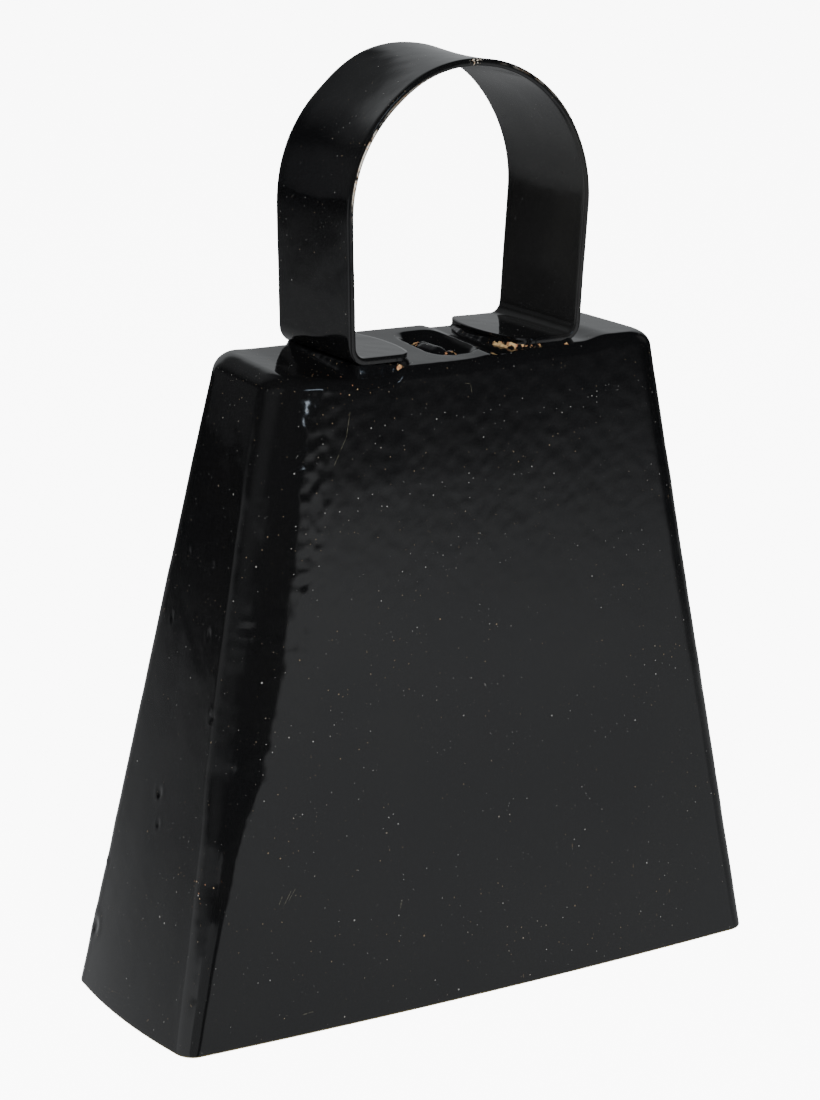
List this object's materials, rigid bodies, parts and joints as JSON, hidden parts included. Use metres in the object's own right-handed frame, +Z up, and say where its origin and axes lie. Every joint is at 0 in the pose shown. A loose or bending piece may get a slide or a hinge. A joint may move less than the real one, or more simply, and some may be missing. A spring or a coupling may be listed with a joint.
{
  "type": "cowbell",
  "caption": "Small sheet-metal cowbell with flared rectangular mouth, bent strap handle and a free-swinging ball clapper on a link.",
  "frame": {"origin": "centre of the mouth, in the plane that the bell stands on", "axes": "+Z up from the mouth to the handle, X along the wide faces and the handle's arch, -Y the front wide face"},
  "size_m": [0.1056, 0.0378, 0.1407],
  "materials": {
    "black_paint": "gloss black paint with dust, pits and light orange peel",
    "copper_braze": "rough copper-coloured brazing filler",
    "hanger_wire": "drawn steel wire, darkened by brazing",
    "clapper_steel": "plain steel, dull, lightly worn where it strikes"
  },
  "bodies": {
    "bell": {"bell_body": "black_paint", "handle_strap": "black_paint", "foot_braze_left": "copper_braze", "foot_braze_right": "copper_braze", "hanger_braze_front": "copper_braze", "hanger_braze_rear": "copper_braze", "seam_braze_left": "copper_braze", "seam_braze_right": "copper_braze", "clapper_hanger": "hanger_wire"},
    "link": {"clapper_link": "clapper_steel"},
    "clapper": {"clapper_rod": "clapper_steel", "clapper_bob": "clapper_steel"}
  },
  "joints": [
    {"name": "link_swing", "type": "hinge", "parent": "bell", "child": "link", "pos_m": [-0.0015, -0.0009, 0.0865], "axis": [0, -1, 0], "range_deg": [-33, 35.8]},
    {"name": "clapper_swing", "type": "hinge", "parent": "link", "child": "clapper", "pos_m": [-0.0015, -0.0009, 0.0792], "axis": [1, 0, 0], "range_deg": [-5, 7]}
  ]
}
